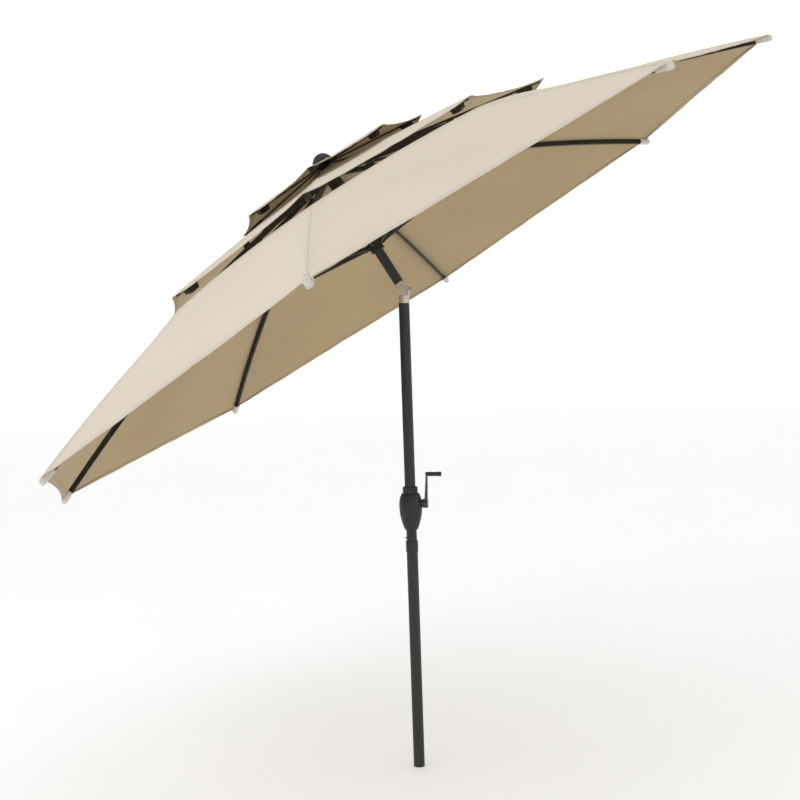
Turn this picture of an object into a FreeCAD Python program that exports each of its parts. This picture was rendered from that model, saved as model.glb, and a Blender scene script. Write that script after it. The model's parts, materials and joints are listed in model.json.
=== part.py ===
import FreeCAD, Part
import math
import os

from FreeCAD import Placement, Rotation, Vector

# Three-tier market umbrella with a crank hoist and a push-button tilt knuckle.
# World frame: origin at the centre of the pole's foot, +Z up the pole, canopy tilted towards -X.
# Canopy frame: origin on the knuckle's pivot, Z up the tilted canopy axis, rib 0 along +X.
# All lengths are millimetres, all angles degrees.

# ---- pole ----
KNUCKLE_Z = 1573.0          # height of the tilt pivot above the foot
TILT = 31.0                 # lean of the canopy axis from upright
LOWER_POLE_R = 18.3
SOCKET_R = 20.0             # the lower pole's top end is swaged out to this
SOCKET_BOTTOM = 716.0
LOWER_POLE_TOP = 754.0
STUB_R = 17.0
STUB_BOTTOM = 634.0         # the stub tube reaches this far down inside the lower pole
MID_POLE_R = 17.4
UPPER_POLE_R = 16.0
WALL = 1.2                  # wall of every pole tube
SNAP_Z = 764.5
SNAP_R = 3.2
SNAP_REACH = 23.4           # the button's dome stands this far from the pole's axis
SNAP_CLEAR = 0.3

# ---- crank housing ----
HOUSING_BOTTOM = 793.5
HOUSING_TOP = 933.5
HOUSING_WALL = 2.6
SOCKET_DEPTH = 24.0
CRANK_Z = 878.0
SHAFT_R = 5.0
ARM_REACH = 96.0            # crank axis to grip axis
GRIP_R = 7.4
GRIP_LENGTH = 44.0
SPOOL_R = 9.0
SPOOL_FLANGE_R = 18.0
SPOOL_HALF = 14.0
WINDING_R = 12.0

# ---- knuckle ----
COLLAR_BOTTOM = KNUCKLE_Z - 42.0
COLLAR_TOP = KNUCKLE_Z - 17.0
EAR_IN = 8.0
EAR_OUT = 13.0
TONGUE_HALF = 7.6
TONGUE_R = 12.5
CORD_SLOT_HALF = 2.5
PIVOT_PIN_R = 4.0
BUTTON_Z = KNUCKLE_Z + 3.0
BUTTON_R = 4.0
BUTTON_CLEAR = 0.08
BRIDGE_IN = 13.2
BRIDGE_OUT = 17.5

# ---- canopy frame: fabric heights above the pivot ----
RIBS = 8
STEP = 360.0 / RIBS
MAIN_R = 1371.0             # main fabric point at each rib
MAIN_TIP_A = 39.0
OPENING_R = 738.0           # inner hem of the main fabric
TIER2_R = 729.0
TIER2_TIP_A = 315.0
TIER2_HUB_A = 461.0
TIER3_R = 350.0
TIER3_TIP_A = 435.0
TIER3_HUB_A = 487.0
FABRIC = 1.5                # thickness of the fabric solids
FABRIC_GAP = 1.8            # fabric clear of the rib below it

# ---- ribs, struts and hubs ----
RIB_H = 16.0
RIB_W = 10.0
RIB_WALL = 1.2
RIB_BOW = 33.0              # rise of the bowed rib above its chord
CROWN_R = 32.0
CROWN_A = 432.0
HINGE_PIN_R = 1.6
HINGE_HOLE_R = 1.66
RUNNER_R = 33.0
RUNNER_A = 172.0
STRUT_FRACTION = 0.455      # strut pivot's place along the rib's arc
STRUT_DROP = 17.0           # strut pivot below the rib's centre line
STRUT_W = 8.0
STRUT_H = 12.0
STRUT_EYE_R = 8.5
STRUT_END_R = 7.0
OPEN_PIVOT_R = 3.4          # strut's outer hole, wide because this pivot is left open
STRUT_PIN_R = 2.0
SLOT_W = 8.7
TIER3_HINGE_R = 24.0
TIER3_HINGE_A = 474.0

# ---- hoist ----
CORD_R = 1.5
PULLEY_AZ = STEP / 2
PULLEY_X = 14.0
PULLEY_A = 412.0
PULLEY_GROOVE_R = 9.0
PULLEY_RIM_R = 11.0

X = Vector(1, 0, 0)
Y = Vector(0, 1, 0)
Z = Vector(0, 0, 1)


# ---------------------------------------------------------------- helpers
def cylinder(radius, start, end):
    """Solid cylinder from one point to another."""
    axis = end - start
    return Part.makeCylinder(radius, axis.Length, start, axis)


def tube(outer, inner, start, end):
    """Hollow cylinder, open at both ends."""
    overrun = (end - start).normalize() * 1.0
    return cylinder(outer, start, end).cut(cylinder(inner, start - overrun, end + overrun))


def block(low, high):
    """Axis-aligned box between two corners."""
    size = high - low
    return Part.makeBox(size.x, size.y, size.z, low)


def profile(points, thickness):
    """Closed outline of (x, z) points, extruded to a plate centred on y = 0."""
    corners = [Vector(x, -thickness / 2, z) for x, z in points]
    wire = Part.makePolygon(corners + corners[:1])
    return Part.Face(wire).extrude(Y * thickness)


def bar(start, end, height, width):
    """Straight rectangular bar along a line from (x, z) to (x, z)."""
    dx, dz = end[0] - start[0], end[1] - start[1]
    length = math.hypot(dx, dz)
    nx, nz = -dz / length * height / 2, dx / length * height / 2
    corners = [
        (start[0] + nx, start[1] + nz),
        (end[0] + nx, end[1] + nz),
        (end[0] - nx, end[1] - nz),
        (start[0] - nx, start[1] - nz),
    ]
    return profile(corners, width)


def cross_pin(point, radius, half_length):
    """Pin along Y through an (x, z) point."""
    centre = Vector(point[0], 0, point[1])
    return cylinder(radius, centre - Y * half_length, centre + Y * half_length)


def spoke(shape, index, offset=0.0):
    """Turn a shape about the canopy axis to the given rib."""
    turned = shape.copy()
    turned.rotate(Vector(0, 0, 0), Z, index * STEP + offset)
    return turned


def head(shape):
    """Carry a shape from the canopy frame to the world frame."""
    placed = shape.copy()
    lean = Placement(Vector(0, 0, KNUCKLE_Z), Rotation(Y, -TILT))
    placed.transformShape(lean.toMatrix())
    return placed


def export(name, *solids):
    """Write one node; several solids go in as a group."""
    shape = solids[0] if len(solids) == 1 else Part.makeCompound(list(solids))
    shape.exportStep("parts/%s.step" % name)


# ---------------------------------------------------------------- main rib curve
def rib_circle():
    """Centre (x, z) and radius of the bowed rib's centre line."""
    start = (CROWN_R, CROWN_A)
    end = rib_end()
    chord = math.hypot(end[0] - start[0], end[1] - start[1])
    radius = (chord * chord / 4 + RIB_BOW * RIB_BOW) / (2 * RIB_BOW)
    down = ((end[1] - start[1]) / chord, -(end[0] - start[0]) / chord)
    depth = radius - RIB_BOW
    middle = ((start[0] + end[0]) / 2, (start[1] + end[1]) / 2)
    return (middle[0] + down[0] * depth, middle[1] + down[1] * depth), radius


def rib_end():
    """Outer end of the rib's centre line, inside the fabric's pocket."""
    return MAIN_R - 9.0, MAIN_TIP_A - RIB_H / 2 - FABRIC - FABRIC_GAP + 3.0


def rib_point(fraction, offset=0.0):
    """(x, z) at a fraction of the rib's arc, offset outwards from its centre line."""
    centre, radius = rib_circle()
    start = math.atan2(CROWN_A - centre[1], CROWN_R - centre[0])
    end_x, end_z = rib_end()
    end = math.atan2(end_z - centre[1], end_x - centre[0])
    angle = start + (end - start) * fraction
    reach = radius + offset
    return centre[0] + reach * math.cos(angle), centre[1] + reach * math.sin(angle)


def rib_fraction_at(reach, offset=0.0):
    """Arc fraction where the offset rib curve is at this distance from the canopy axis."""
    low, high = 0.0, 1.2
    for _ in range(50):
        middle = (low + high) / 2
        if rib_point(middle, offset)[0] < reach:
            low = middle
        else:
            high = middle
    return low


def rib_band(first, last, upper, lower, width):
    """Bowed bar between two arc fractions and two offsets from the centre line."""
    def corner(fraction, offset):
        x, z = rib_point(fraction, offset)
        return Vector(x, -width / 2, z)

    middle = (first + last) / 2
    edges = [
        Part.Arc(corner(first, upper), corner(middle, upper), corner(last, upper)).toShape(),
        Part.LineSegment(corner(last, upper), corner(last, lower)).toShape(),
        Part.Arc(corner(last, lower), corner(middle, lower), corner(first, lower)).toShape(),
        Part.LineSegment(corner(first, lower), corner(first, upper)).toShape(),
    ]
    return Part.Face(Part.Wire(edges)).extrude(Y * width)


# ---------------------------------------------------------------- poles
def lower_pole():
    """Straight tube whose top end is swaged out into a socket for the stub."""
    cone_top = SOCKET_BOTTOM + 5.0
    outline = [
        Vector(LOWER_POLE_R, 0, 0),
        Vector(LOWER_POLE_R, 0, SOCKET_BOTTOM),
        Vector(SOCKET_R, 0, cone_top),
        Vector(SOCKET_R, 0, LOWER_POLE_TOP),
        Vector(SOCKET_R - WALL, 0, LOWER_POLE_TOP),
        Vector(SOCKET_R - WALL, 0, cone_top - 0.5),
        Vector(LOWER_POLE_R - WALL, 0, SOCKET_BOTTOM - 0.5),
        Vector(LOWER_POLE_R - WALL, 0, 0),
    ]
    return Part.Face(Part.makePolygon(outline + outline[:1])).revolve(Vector(0, 0, 0), Z, 360)


def foot_plug():
    inner = LOWER_POLE_R - WALL - 0.1
    plug = cylinder(inner, Z * 0.5, Z * 26.0)
    return plug.cut(cylinder(inner - 2.5, Z * 4.0, Z * 30.0))


def stub_tube():
    top = HOUSING_BOTTOM + SOCKET_DEPTH
    shell = tube(STUB_R, STUB_R - WALL, Z * STUB_BOTTOM, Z * top)
    hole = cylinder(SNAP_R + SNAP_CLEAR, Vector(0, 0, SNAP_Z), Vector(-30, 0, SNAP_Z))
    return shell.cut(hole)


def joint_bush():
    """Plastic bush with a thin lip that fills the socket round the stub."""
    outer = SOCKET_R - WALL - 0.05
    sleeve = tube(outer, STUB_R + 0.05, Z * (SOCKET_BOTTOM + 6.0), Z * LOWER_POLE_TOP)
    lip = tube(SOCKET_R - 0.3, STUB_R + 0.05, Z * LOWER_POLE_TOP, Z * (LOWER_POLE_TOP + 1.2))
    return sleeve.fuse(lip).removeSplitter()


def snap_button():
    """Domed steel button on a flange that bears on the stub's inside."""
    tip = SNAP_R - SNAP_REACH
    shank = cylinder(SNAP_R, Vector(tip, 0, SNAP_Z), Vector(-13.0, 0, SNAP_Z))
    dome = Part.makeSphere(SNAP_R, Vector(tip, 0, SNAP_Z))
    flange = cylinder(5.0, Vector(-15.0, 0, SNAP_Z), Vector(-13.0, 0, SNAP_Z))
    return shank.fuse([dome, flange]).removeSplitter()


def snap_spring():
    """V-shaped leaf spring that pushes the snap button outwards."""
    leaf = 0.8
    outline = [
        (-12.8, SNAP_Z + 7.0),
        (-12.8, SNAP_Z - 7.0),
        (0.0, SNAP_Z - 52.0),
        (14.0, SNAP_Z - 12.0),
        (14.0 - leaf, SNAP_Z - 12.0),
        (0.0, SNAP_Z - 52.0 + 3 * leaf),
        (-12.8 + leaf, SNAP_Z - 7.0),
        (-12.8 + leaf, SNAP_Z + 7.0),
    ]
    return profile(outline, 7.0)


def mid_pole():
    bottom = HOUSING_TOP - SOCKET_DEPTH
    return tube(MID_POLE_R, MID_POLE_R - WALL, Z * bottom, Z * COLLAR_BOTTOM)


def upper_pole():
    start, end = Z * 27.0, Z * 452.0
    shell = tube(UPPER_POLE_R, UPPER_POLE_R - WALL, start, end)
    return shell.cut(pulley_slot()).cut(pulley_pin())


# ---------------------------------------------------------------- crank housing
def barrel(inset, bottom, top):
    """Turned barrel whose outline lies inside the outer skin by the inset."""
    skin = [(24.0, 799.0), (31.5, 824.0), (36.4, 850.0), (37.4, 872.0), (35.6, 892.0), (29.0, 911.0)]
    curve = Part.BSplineCurve()
    curve.interpolate([Vector(r - inset, 0, z) for r, z in skin])
    first, last = skin[0], skin[-1]
    outline = [
        Part.makePolygon([
            Vector(0, 0, bottom),
            Vector(22.0 - inset, 0, bottom),
            Vector(22.0 - inset, 0, first[1] - 2.0),
            Vector(first[0] - inset, 0, first[1]),
        ]),
        curve.toShape(),
        Part.makePolygon([
            Vector(last[0] - inset, 0, last[1]),
            Vector(24.5 - inset, 0, last[1] + 2.0),
            Vector(24.5 - inset, 0, top - 2.0),
            Vector(22.5 - inset, 0, top),
            Vector(0, 0, top),
            Vector(0, 0, bottom),
        ]),
    ]
    edges = [edge for piece in outline for edge in piece.Edges]
    return Part.Face(Part.Wire(Part.__sortEdges__(edges))).revolve(Vector(0, 0, 0), Z, 360)


def housing_shell():
    """Whole housing before it is split into its two halves."""
    outside = barrel(0.0, HOUSING_BOTTOM, HOUSING_TOP)
    floor = HOUSING_BOTTOM + SOCKET_DEPTH
    roof = HOUSING_TOP - SOCKET_DEPTH
    room = block(Vector(-60, -60, floor), Vector(60, 60, roof))
    cavity = barrel(HOUSING_WALL, HOUSING_BOTTOM - 5.0, HOUSING_TOP + 5.0).common(room)
    low_socket = cylinder(STUB_R + 0.05, Z * (HOUSING_BOTTOM - 5), Z * (floor + 1))
    high_socket = cylinder(MID_POLE_R + 0.05, Z * (roof - 1), Z * (HOUSING_TOP + 5))
    return outside.cut(cavity).cut(low_socket).cut(high_socket)


def housing_half(side):
    """Side +1 carries the crank's bush, side -1 the blind bearing."""
    shell = housing_shell()
    keep = block(Vector(0.05, -60, 700), Vector(80, 60, 1000))
    if side < 0:
        keep = block(Vector(-80, -60, 700), Vector(-0.05, 60, 1000))
    half = shell.common(keep)
    inner, outer = 20.0 * side, 35.0 * side
    boss = cylinder(11.0, Vector(inner, 0, CRANK_Z), Vector(outer, 0, CRANK_Z))
    half = half.fuse(boss)
    if side > 0:
        half = half.fuse(cylinder(13.5, Vector(33, 0, CRANK_Z), Vector(39.5, 0, CRANK_Z)))
        bore = cylinder(8.0, Vector(10, 0, CRANK_Z), Vector(50, 0, CRANK_Z))
    else:
        bore = cylinder(SHAFT_R + 0.05, Vector(-10, 0, CRANK_Z), Vector(-30.5, 0, CRANK_Z))
    half = half.cut(bore)
    for place in housing_screw_places():
        clear = cylinder(1.6, Vector(-60, place[0], place[1]), Vector(60, place[0], place[1]))
        post = cylinder(4.0, Vector(0.05 * side, *place), Vector(20.0 * side, *place))
        half = half.fuse(post.common(barrel(0.5, HOUSING_BOTTOM, HOUSING_TOP)))
        if side < 0:
            sink = cylinder(3.4, Vector(-60, *place), Vector(-22.0, *place))
            half = half.cut(clear).cut(sink)
        else:
            half = half.cut(cylinder(1.5, Vector(-1, *place), Vector(16, *place)))
    return half.removeSplitter()


def housing_screw_places():
    """(y, z) of the four screws that clamp the two halves."""
    return [(y, z) for y in (-24.0, 24.0) for z in (846.0, 886.0)]


def housing_screws():
    screws = []
    for place in housing_screw_places():
        shank = cylinder(1.5, Vector(-22.0, *place), Vector(14.0, *place))
        shell = cylinder(3.0, Vector(-24.4, *place), Vector(-22.0, *place))
        screws.append(shank.fuse(shell))
    return screws


def crank_bush():
    body = cylinder(7.95, Vector(20.0, 0, CRANK_Z), Vector(40.0, 0, CRANK_Z))
    bore = cylinder(SHAFT_R + 0.05, Vector(15, 0, CRANK_Z), Vector(45, 0, CRANK_Z))
    return body.cut(bore)


def crank_shaft():
    return cylinder(SHAFT_R, Vector(-30.0, 0, CRANK_Z), Vector(55.0, 0, CRANK_Z))


def spool():
    core = cylinder(SPOOL_R, Vector(-SPOOL_HALF, 0, CRANK_Z), Vector(SPOOL_HALF, 0, CRANK_Z))
    for side in (-1, 1):
        rim = Vector(side * (SPOOL_HALF + 2.0), 0, CRANK_Z)
        core = core.fuse(cylinder(SPOOL_FLANGE_R, rim, Vector(side * SPOOL_HALF, 0, CRANK_Z)))
    return core.cut(crank_shaft()).removeSplitter()


def cord_winding():
    start = Vector(-SPOOL_HALF + 0.5, 0, CRANK_Z)
    end = Vector(SPOOL_HALF - 0.5, 0, CRANK_Z)
    return tube(WINDING_R, SPOOL_R + 0.3, start, end)


def crank_arm():
    """Cast arm: a round hub, a tapering blade that leans outwards, and a round grip boss."""
    hub = cylinder(15.0, Vector(41.0, 0, CRANK_Z), Vector(57.0, 0, CRANK_Z))
    top = CRANK_Z + ARM_REACH
    boss = cylinder(7.0, Vector(52.0, 0, top), Vector(59.0, 0, top))
    low = Part.makePolygon([
        Vector(46.0, -9.5, CRANK_Z),
        Vector(56.0, -9.5, CRANK_Z),
        Vector(56.0, 9.5, CRANK_Z),
        Vector(46.0, 9.5, CRANK_Z),
        Vector(46.0, -9.5, CRANK_Z),
    ])
    high = Part.makePolygon([
        Vector(53.0, -5.5, top),
        Vector(58.5, -5.5, top),
        Vector(58.5, 5.5, top),
        Vector(53.0, 5.5, top),
        Vector(53.0, -5.5, top),
    ])
    blade = Part.makeLoft([low, high], True, True)
    arm = hub.fuse([blade, boss])
    arm = arm.cut(crank_shaft())
    arm = arm.cut(grip_pin())
    recess = cylinder(7.5, Vector(55.0, 0, CRANK_Z), Vector(60.0, 0, CRANK_Z))
    return arm.cut(recess).removeSplitter()


def arm_screw():
    shell = cylinder(6.0, Vector(55.0, 0, CRANK_Z), Vector(57.4, 0, CRANK_Z))
    return shell.cut(block(Vector(56.4, -5, CRANK_Z - 0.6), Vector(58, 5, CRANK_Z + 0.6)))


def grip_pin():
    """Rivet the grip spins on, with a head in the grip's outer end."""
    top = CRANK_Z + ARM_REACH
    shank = cylinder(2.5, Vector(52.0, 0, top), Vector(59.5 + GRIP_LENGTH - 3.0, 0, top))
    end = 59.5 + GRIP_LENGTH - 3.0
    return shank.fuse(cylinder(4.4, Vector(end, 0, top), Vector(end + 2.0, 0, top)))


def crank_grip():
    """Turned grip with a slight waist."""
    start = 59.4
    outline = [(0.0, 5.6), (2.0, GRIP_R), (16.0, 6.7), (30.0, 7.0), (42.0, 7.6), (44.0, 6.4)]
    points = [Vector(start + x, 0, r) for x, r in outline]
    closed = [Vector(start, 0, 0)] + points + [Vector(start + GRIP_LENGTH, 0, 0)]
    face = Part.Face(Part.makePolygon(closed + closed[:1]))
    body = face.revolve(Vector(0, 0, 0), X, 360)
    body = body.cut(cylinder(2.58, Vector(50, 0, 0), Vector(120, 0, 0)))
    sink = cylinder(4.7, Vector(start + GRIP_LENGTH - 3.3, 0, 0), Vector(120, 0, 0))
    body = body.cut(sink)
    body.translate(Z * (CRANK_Z + ARM_REACH))
    return body


# ---------------------------------------------------------------- tilt knuckle
def knuckle_base():
    """Silver lower casting: plug, collar, two ears and the button's bridge."""
    plug = cylinder(MID_POLE_R - WALL - 0.05, Z * (COLLAR_BOTTOM - 34.0), Z * COLLAR_BOTTOM)
    collar = cylinder(MID_POLE_R, Z * COLLAR_BOTTOM, Z * COLLAR_TOP)
    body = plug.fuse(collar)
    for side in (-1, 1):
        low, high = sorted((side * EAR_IN, side * EAR_OUT))
        web = block(Vector(-TONGUE_R, low, COLLAR_TOP - 2.0), Vector(TONGUE_R, high, KNUCKLE_Z))
        cap = cylinder(TONGUE_R, Vector(0, low, KNUCKLE_Z), Vector(0, high, KNUCKLE_Z))
        body = body.fuse([web, cap])
    bridge = block(Vector(BRIDGE_IN, -EAR_OUT, COLLAR_TOP - 2), Vector(BRIDGE_OUT, EAR_OUT, BUTTON_Z + 8))
    cheeks = block(Vector(0, -EAR_OUT, COLLAR_TOP - 2), Vector(BRIDGE_OUT, EAR_OUT, BUTTON_Z + 8))
    gap = block(Vector(-40, -EAR_IN, COLLAR_TOP), Vector(BRIDGE_IN, EAR_IN, KNUCKLE_Z + 40))
    body = body.fuse([bridge, cheeks.cut(gap)])
    body = body.cut(gap)
    body = body.cut(cylinder(PIVOT_PIN_R, Vector(0, -40, KNUCKLE_Z), Vector(0, 40, KNUCKLE_Z)))
    hole = cylinder(BUTTON_R + BUTTON_CLEAR, Vector(8, 0, BUTTON_Z), Vector(30, 0, BUTTON_Z))
    channel = block(Vector(-12, -3, COLLAR_BOTTOM - 40), Vector(-5, 3, COLLAR_TOP + 1))
    screw_hole = cylinder(2.0, Vector(0, -30, COLLAR_BOTTOM + 18), Vector(0, -11, COLLAR_BOTTOM + 18))
    return body.cut(hole).cut(channel).cut(screw_hole).removeSplitter()


def knuckle_screw():
    height = COLLAR_BOTTOM + 18
    shank = cylinder(2.0, Vector(0, -MID_POLE_R, height), Vector(0, -11.0, height))
    return shank.fuse(cylinder(4.0, Vector(0, -19.0, height), Vector(0, -MID_POLE_R, height)))


def knuckle_tongue():
    """Silver upper casting, in the canopy frame: tongue, collar and plug in the upper pole."""
    disc = cylinder(TONGUE_R, Vector(0, -TONGUE_HALF, 0), Vector(0, TONGUE_HALF, 0))
    neck = block(Vector(-TONGUE_R, -TONGUE_HALF, 0), Vector(TONGUE_R, TONGUE_HALF, 16.0))
    collar = cylinder(UPPER_POLE_R + 0.6, Z * 14.6, Z * 27.0)
    plug = cylinder(UPPER_POLE_R - WALL - 0.05, Z * 27.0, Z * 56.0)
    body = disc.fuse([neck, collar, plug])
    slot = block(Vector(-40, -CORD_SLOT_HALF, -40), Vector(-4.6, CORD_SLOT_HALF, 60))
    slot = slot.fuse(block(Vector(-5, -CORD_SLOT_HALF, 16), Vector(8, CORD_SLOT_HALF, 60)))
    body = body.cut(slot)
    return body.cut(cross_pin((0, 0), PIVOT_PIN_R + 0.05, 20.0)).removeSplitter()


def pivot_pin():
    shank = cylinder(PIVOT_PIN_R, Vector(0, -EAR_OUT, KNUCKLE_Z), Vector(0, EAR_OUT, KNUCKLE_Z))
    for side in (-1, 1):
        inner = Vector(0, side * EAR_OUT, KNUCKLE_Z)
        shank = shank.fuse(cylinder(6.0, inner, inner + Y * side * 2.2))
    return shank.removeSplitter()


def tilt_button():
    shank = cylinder(BUTTON_R, Vector(16.4, 0, BUTTON_Z), Vector(21.5, 0, BUTTON_Z))
    return shank.fuse(cylinder(5.6, Vector(21.0, 0, BUTTON_Z), Vector(23.6, 0, BUTTON_Z))).removeSplitter()


def tilt_spring():
    return tube(5.2, 4.4, Vector(BRIDGE_OUT + 0.1, 0, BUTTON_Z), Vector(20.9, 0, BUTTON_Z))


# ---------------------------------------------------------------- hubs (canopy frame)
def slotted_flange(radius, low, high, slot_from):
    """Disc with one radial slot for each spoke."""
    disc = cylinder(radius, Z * low, Z * high)
    for index in range(RIBS):
        slot = block(Vector(slot_from, -SLOT_W / 2, low - 5), Vector(radius + 5, SLOT_W / 2, high + 5))
        disc = disc.cut(spoke(slot, index))
    return disc


def hub_pins(reach, height):
    """One short tangential pin across each slot."""
    return [spoke(cross_pin((reach, height), HINGE_PIN_R, SLOT_W / 2 + 3.2), k) for k in range(RIBS)]


def cut_pins(body, pins):
    for pin in pins:
        body = body.cut(pin)
    return body


def pulley_slot():
    """Slot through pole and crown for the pulley, and the cord's way past the crown."""
    wheel = block(Vector(0, -3.6, PULLEY_A - 13), Vector(27.5, 3.6, PULLEY_A + 13))
    way = block(Vector(UPPER_POLE_R + 6.3, -2.6, PULLEY_A - 60), Vector(27.5, 2.6, PULLEY_A + 5))
    return spoke(wheel.fuse(way), 0, PULLEY_AZ)


def crown():
    sleeve = cylinder(23.0, Z * 392.0, Z * 450.0)
    flange = slotted_flange(40.0, CROWN_A - 6, CROWN_A + 6, 23.2)
    body = sleeve.fuse(flange)
    body = body.cut(cylinder(UPPER_POLE_R, Z * 380, Z * 460)).cut(pulley_slot())
    body = cut_pins(body, hub_pins(CROWN_R, CROWN_A))
    return body.cut(pulley_pin()).removeSplitter()


def tier_hub():
    """Top hub: clamps the second tier's fabric and carries the third tier's arms."""
    seat = cylinder(26.0, Z * 452.0, Z * 459.5)
    core = cylinder(17.0, Z * 459.5, Z * 486.0)
    flange = slotted_flange(30.0, TIER3_HINGE_A - 4, TIER3_HINGE_A + 4, 17.2)
    plug = cylinder(UPPER_POLE_R - WALL - 0.05, Z * 428.0, Z * 452.0)
    body = seat.fuse([core, flange, plug])
    body = cut_pins(body, hub_pins(TIER3_HINGE_R, TIER3_HINGE_A))
    return body.cut(cylinder(4.0, Z * 455, Z * 500)).removeSplitter()


def runner():
    sleeve = cylinder(22.0, Z * 150.0, Z * 206.0)
    body = sleeve.fuse(slotted_flange(39.0, RUNNER_A - 4, RUNNER_A + 4, 24.0))
    body = body.fuse(cylinder(24.0, Z * 150.0, Z * 156.0))
    body = body.cut(cylinder(UPPER_POLE_R + 0.35, Z * 100, Z * 300))
    return cut_pins(body, hub_pins(RUNNER_R, RUNNER_A)).removeSplitter()


def pulley():
    centre = Vector(PULLEY_X, 0, PULLEY_A)
    half = 2.9
    wheel = cylinder(PULLEY_RIM_R, centre - Y * half, centre + Y * half)
    groove = Part.makeTorus(PULLEY_GROOVE_R + CORD_R, CORD_R + 0.2, centre, Y)
    wheel = wheel.cut(groove).cut(cross_pin((PULLEY_X, PULLEY_A), 2.05, 10))
    return spoke(wheel, 0, PULLEY_AZ)


def pulley_pin():
    return spoke(cross_pin((PULLEY_X, PULLEY_A), 2.0, 11.0), 0, PULLEY_AZ)


def finial():
    """Low domed cap on top of the third tier, with its stud moulded in."""
    base_r, rise, low = 34.0, 27.0, TIER3_HUB_A + FABRIC + 0.4
    sphere_r = (base_r * base_r + rise * rise) / (2 * rise)
    sphere = Part.makeSphere(sphere_r, Vector(0, 0, low + rise - sphere_r))
    dome = sphere.common(cylinder(base_r + 1, Z * low, Z * (low + rise + 5)))
    return dome.fuse(cylinder(4.0, Z * 456.0, Z * (low + 1))).removeSplitter()


# ---------------------------------------------------------------- ribs, arms and struts
def strut_pivot():
    """(x, z) of the pivot that joins a strut to its rib."""
    return rib_point(STRUT_FRACTION, -STRUT_DROP)


def rib():
    """Bowed rectangular tube, open at its tip, with its crown eye."""
    half = RIB_H / 2
    start = rib_fraction_at(CROWN_R)
    skin = rib_band(start, 1.0, half, -half, RIB_W - 1.8)
    room = rib_band(start + 0.03, 1.01, half - RIB_WALL, -half + RIB_WALL, RIB_W - 1.8 - 2 * RIB_WALL)
    eye = cross_pin((CROWN_R, CROWN_A), half, (RIB_W - 1.8) / 2)
    body = skin.cut(room).fuse(eye)
    return body.cut(cross_pin((CROWN_R, CROWN_A), HINGE_HOLE_R, 10)).removeSplitter()


def rib_bracket():
    """Folded steel bracket under the rib that takes the strut's outer pivot."""
    x, z = strut_pivot()
    ears = []
    for side in (-1, 1):
        plate = rib_band(STRUT_FRACTION - 0.016, STRUT_FRACTION + 0.016, RIB_H / 2 - 1, -STRUT_DROP, 1.8)
        disc = cylinder(7.0, Vector(x, -0.9, z), Vector(x, 0.9, z))
        ear = plate.fuse(disc)
        ear.translate(Y * side * ((RIB_W - 1.8) / 2 + 0.9 + 0.05))
        ears.append(ear)
    pin = cross_pin((x, z), STRUT_PIN_R, (RIB_W - 1.8) / 2 + 1.9)
    return ears[0].fuse([ears[1], pin]).removeSplitter()


def strut():
    """Flat bar from the runner to the rib's bracket."""
    inner, outer = (RUNNER_R, RUNNER_A), strut_pivot()
    width = STRUT_W - 0.4
    body = bar(inner, outer, STRUT_H, width)
    body = body.fuse([cross_pin(inner, STRUT_EYE_R, width / 2), cross_pin(outer, STRUT_END_R, width / 2)])
    body = body.cut(cross_pin(inner, HINGE_HOLE_R, 10))
    return body.cut(cross_pin(outer, OPEN_PIVOT_R, 10)).removeSplitter()


def tier_line(tip_r, tip_a, hub_a, reach, below):
    """(x, z) a distance below a straight tier's fabric at a radius."""
    slope = (hub_a - tip_a) / tip_r
    return reach, hub_a - slope * reach - below


def tier2_arm():
    """Arm that carries the second tier: bar, end block and two stays on the main rib."""
    def under(reach, below):
        return tier_line(TIER2_R, TIER2_TIP_A, TIER2_HUB_A, reach, below)

    arm = bar(under(150, 5.0), under(TIER2_R - 12, 5.0), 7.0, 7.0)
    end = profile([under(634, 2.2), under(690, 2.2), under(684, 20.0), under(668, 27.0), under(640, 27.0)], 14.0)
    body = arm.fuse(end)
    for near, far in ((150.0, 178.0), (300.0, 336.0), (402.0, 426.0)):
        low_near = rib_point(rib_fraction_at(near), RIB_H / 2 + 0.02)
        low_far = rib_point(rib_fraction_at(far), RIB_H / 2 + 0.02)
        stay = profile([under(near, 6.0), under(far, 6.0), low_far, low_near], 6.0)
        body = body.fuse(stay)
    return body.removeSplitter()


def tier3_arm():
    """Short arm of the third tier, hinged on the top hub."""
    def under(reach, below):
        return tier_line(TIER3_R, TIER3_TIP_A, TIER3_HUB_A, reach, below)

    hinge = (TIER3_HINGE_R, TIER3_HINGE_A)
    width = 7.6
    arm = bar(hinge, under(TIER3_R - 10, 5.0), 4.6, 6.0)
    end = profile([under(268, 2.4), under(316, 2.4), under(312, 17.0), under(300, 22.0), under(274, 22.0)], 14.0)
    eye = cross_pin(hinge, 4.6, width / 2)
    body = arm.fuse([end, eye])
    return body.cut(cross_pin(hinge, HINGE_HOLE_R, 10)).removeSplitter()


# ---------------------------------------------------------------- fabric
def skirt(stations):
    """Closed solid of one tier: a ring of flat strips between the ribs.

    stations are (radius, height) of the fabric's underside on the ribs, from hub to hem.
    """
    def corner(station, index, lift):
        angle = math.radians(index * STEP)
        reach, height = station
        return Vector(reach * math.cos(angle), reach * math.sin(angle), height + lift)

    faces = []

    def strip(a, b, c, d):
        faces.append(Part.Face(Part.makePolygon([a, b, c, d, a])))

    for k in range(RIBS):
        for inner, outer in zip(stations, stations[1:]):
            for lift in (0.0, FABRIC):
                strip(corner(inner, k, lift), corner(outer, k, lift),
                      corner(outer, k + 1, lift), corner(inner, k + 1, lift))
        for edge in (stations[0], stations[-1]):
            strip(corner(edge, k, 0), corner(edge, k + 1, 0),
                  corner(edge, k + 1, FABRIC), corner(edge, k, FABRIC))
    return Part.Solid(Part.makeShell(faces))


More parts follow.
